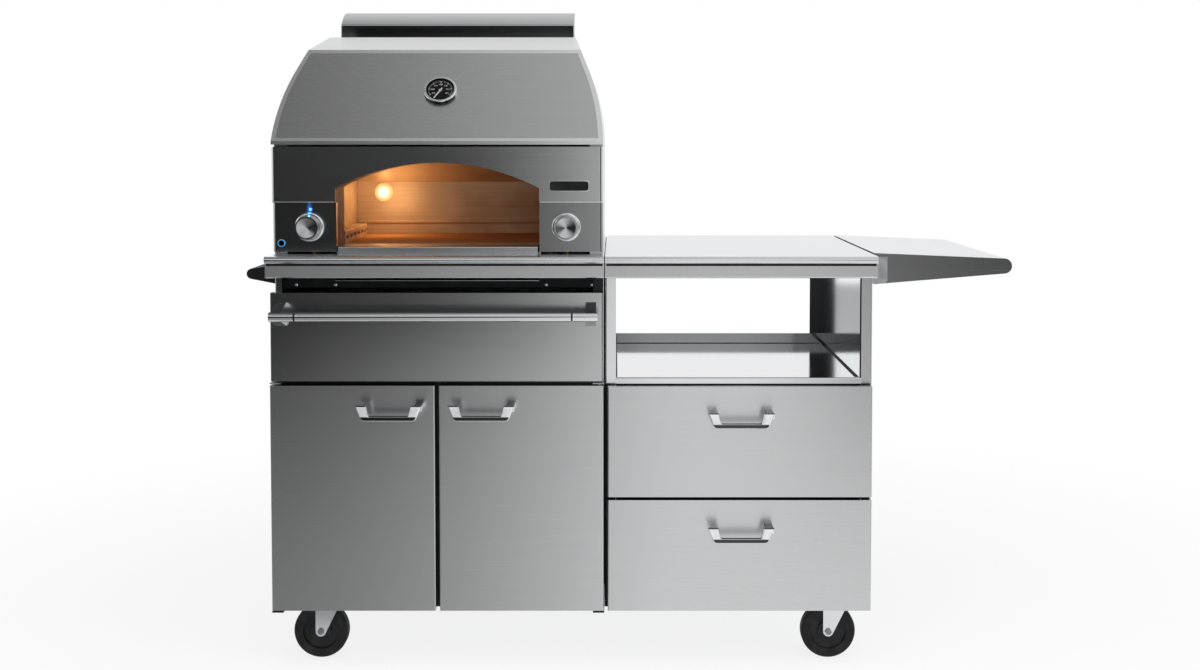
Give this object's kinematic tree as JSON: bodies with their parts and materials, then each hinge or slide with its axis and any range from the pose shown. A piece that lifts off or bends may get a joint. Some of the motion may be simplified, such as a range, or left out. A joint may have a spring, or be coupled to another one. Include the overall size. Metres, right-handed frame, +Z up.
{
  "type": "pizza oven cart",
  "caption": "Stainless gas pizza oven with an arched mouth and loaf-shaped hood on a wheeled cart with doors, drawers, an open bay, a counter and a folding side shelf.",
  "frame": {"origin": "on the floor under the middle of the whole object", "axes": "+X along the cart to the counter and side shelf, +Y to the back, +Z up; the front faces -Y"},
  "size_m": [1.768, 0.8128, 1.548],
  "materials": {
    "brushed_stainless": "horizontally brushed",
    "lining_steel": "heat-dulled sheet",
    "galvanised_steel": "matt zinc coat",
    "zinc_plate": "bright zinc plate",
    "bright_chrome": "polished",
    "black_enamel": "satin black enamel",
    "hearth_stone": "fired cordierite",
    "lamp_glass": "frosted, lit",
    "gas_brass": "cast and turned",
    "needle_paint": "white paint",
    "wheel_rubber": "matt"
  },
  "bodies": {
    "cart": {"base_frame": "galvanised_steel", "left_wall": "brushed_stainless", "centre_walls": "brushed_stainless", "right_wall": "brushed_stainless", "rear_panel": "brushed_stainless", "mid_rail": "brushed_stainless", "bay_liner": "brushed_stainless", "oven_deck": "brushed_stainless", "counter_top": "brushed_stainless", "heat_shield": "black_enamel", "door_pivots": "galvanised_steel", "slide_rails": "galvanised_steel", "caster_plates": "zinc_plate", "push_handle": "black_enamel", "shelf_brackets": "galvanised_steel", "oven_body": "brushed_stainless", "oven_hood": "brushed_stainless", "arch_panel": "brushed_stainless", "control_panels": "brushed_stainless", "mouth_throat": "brushed_stainless", "oven_liner": "lining_steel", "hearth_stone": "hearth_stone", "gas_burners": "lining_steel", "burner_guard": "lining_steel", "oven_lamp": "lamp_glass", "flue_cover": "brushed_stainless", "gauge_case": "bright_chrome", "knob_bezels": "bright_chrome", "gas_manifold": "gas_brass"},
    "main_drawer": {"main_drawer_front": "brushed_stainless", "main_drawer_box": "galvanised_steel", "main_handle": "bright_chrome"},
    "main_runners": {"main_slides": "galvanised_steel"},
    "upper_drawer": {"upper_drawer_front": "brushed_stainless", "upper_drawer_box": "galvanised_steel", "upper_handle": "bright_chrome"},
    "upper_runners": {"upper_slides": "galvanised_steel"},
    "lower_drawer": {"lower_drawer_front": "brushed_stainless", "lower_drawer_box": "galvanised_steel", "lower_handle": "bright_chrome"},
    "lower_runners": {"lower_slides": "galvanised_steel"},
    "left_door": {"left_door": "brushed_stainless", "left_door_handle": "bright_chrome"},
    "right_door": {"right_door": "brushed_stainless", "right_door_handle": "bright_chrome"},
    "side_shelf": {"side_shelf": "brushed_stainless"},
    "left_valve": {"left_stem": "bright_chrome"},
    "left_knob": {"left_knob": "bright_chrome"},
    "right_valve": {"right_stem": "bright_chrome"},
    "right_knob": {"right_knob": "bright_chrome"},
    "light_button": {"light_button": "bright_chrome"},
    "gauge_needle": {"gauge_needle": "needle_paint"},
    "front_left_fork": {"front_left_fork": "zinc_plate"},
    "front_left_wheel": {"front_left_wheel": "wheel_rubber"},
    "front_right_fork": {"front_right_fork": "zinc_plate"},
    "front_right_wheel": {"front_right_wheel": "wheel_rubber"},
    "rear_left_fork": {"rear_left_fork": "zinc_plate"},
    "rear_left_wheel": {"rear_left_wheel": "wheel_rubber"},
    "rear_right_fork": {"rear_right_fork": "zinc_plate"},
    "rear_right_wheel": {"rear_right_wheel": "wheel_rubber"}
  },
  "joints": [
    {"name": "main_drawer_slide", "type": "slide", "parent": "cart", "child": "main_drawer", "axis": [0, -1, 0], "range_m": [0, 0.42]},
    {"name": "main_runner_slide", "type": "slide", "parent": "cart", "child": "main_runners", "axis": [0, -1, 0], "range_m": [0, 0.21]},
    {"name": "upper_drawer_slide", "type": "slide", "parent": "cart", "child": "upper_drawer", "axis": [0, -1, 0], "range_m": [0, 0.42]},
    {"name": "upper_runner_slide", "type": "slide", "parent": "cart", "child": "upper_runners", "axis": [0, -1, 0], "range_m": [0, 0.21]},
    {"name": "lower_drawer_slide", "type": "slide", "parent": "cart", "child": "lower_drawer", "axis": [0, -1, 0], "range_m": [0, 0.42]},
    {"name": "lower_runner_slide", "type": "slide", "parent": "cart", "child": "lower_runners", "axis": [0, -1, 0], "range_m": [0, 0.21]},
    {"name": "left_door_hinge", "type": "hinge", "parent": "cart", "child": "left_door", "pos_m": [-0.808, -0.32312, 0.135], "axis": [0, 0, -1], "range_deg": [0, 105]},
    {"name": "right_door_hinge", "type": "hinge", "parent": "cart", "child": "right_door", "pos_m": [-0.068, -0.32312, 0.135], "axis": [0, 0, -1], "range_deg": [-105, 0]},
    {"name": "shelf_fold", "type": "hinge", "parent": "cart", "child": "side_shelf", "pos_m": [0.585, 0.05937, 0.892], "axis": [0, 1, 0], "range_deg": [0, 90]},
    {"name": "left_knob_push", "type": "slide", "parent": "cart", "child": "left_valve", "axis": [0, 1, 0], "range_m": [0, 0.003], "stiffness_N_per_m": 3000, "springref_m": -0.001},
    {"name": "left_knob_turn", "type": "hinge", "parent": "left_valve", "child": "left_knob", "pos_m": [-0.7365, -0.28963, 1.012], "axis": [0, -1, 0], "range_deg": [0, 210]},
    {"name": "right_knob_push", "type": "slide", "parent": "cart", "child": "right_valve", "axis": [0, 1, 0], "range_m": [0, 0.003], "stiffness_N_per_m": 3000, "springref_m": -0.001},
    {"name": "right_knob_turn", "type": "hinge", "parent": "right_valve", "child": "right_knob", "pos_m": [-0.1445, -0.28963, 1.012], "axis": [0, -1, 0], "range_deg": [0, 210]},
    {"name": "light_button_push", "type": "slide", "parent": "cart", "child": "light_button", "axis": [0, 1, 0], "range_m": [0, 0.002], "stiffness_N_per_m": 1500, "springref_m": -0.001},
    {"name": "gauge_swing", "type": "hinge", "parent": "cart", "child": "gauge_needle", "pos_m": [-0.4405, -0.20629, 1.32856], "axis": [0, 0.7812, -0.6243], "range_deg": [0, 240]},
    {"name": "front_left_swivel", "type": "hinge", "parent": "cart", "child": "front_left_fork", "pos_m": [-0.686, -0.24363, 0.1457], "axis": [0, 0, 1], "continuous": true},
    {"name": "front_left_roll", "type": "hinge", "parent": "front_left_fork", "child": "front_left_wheel", "pos_m": [-0.721, -0.24363, 0.0635], "axis": [0, 1, 0], "continuous": true},
    {"name": "front_right_swivel", "type": "hinge", "parent": "cart", "child": "front_right_fork", "pos_m": [0.502, -0.24363, 0.1457], "axis": [0, 0, 1], "continuous": true},
    {"name": "front_right_roll", "type": "hinge", "parent": "front_right_fork", "child": "front_right_wheel", "pos_m": [0.467, -0.24363, 0.0635], "axis": [0, 1, 0], "continuous": true},
    {"name": "rear_left_swivel", "type": "hinge", "parent": "cart", "child": "rear_left_fork", "pos_m": [-0.686, 0.26238, 0.1457], "axis": [0, 0, 1], "continuous": true},
    {"name": "rear_left_roll", "type": "hinge", "parent": "rear_left_fork", "child": "rear_left_wheel", "pos_m": [-0.721, 0.26238, 0.0635], "axis": [0, 1, 0], "continuous": true},
    {"name": "rear_right_swivel", "type": "hinge", "parent": "cart", "child": "rear_right_fork", "pos_m": [0.502, 0.26238, 0.1457], "axis": [0, 0, 1], "continuous": true},
    {"name": "rear_right_roll", "type": "hinge", "parent": "rear_right_fork", "child": "rear_right_wheel", "pos_m": [0.467, 0.26238, 0.0635], "axis": [0, 1, 0], "continuous": true}
  ],
  "couplings": [
    {"joint": "main_runner_slide", "follows": "main_drawer_slide", "ratio": 0.5},
    {"joint": "upper_runner_slide", "follows": "upper_drawer_slide", "ratio": 0.5},
    {"joint": "lower_runner_slide", "follows": "lower_drawer_slide", "ratio": 0.5}
  ]
}
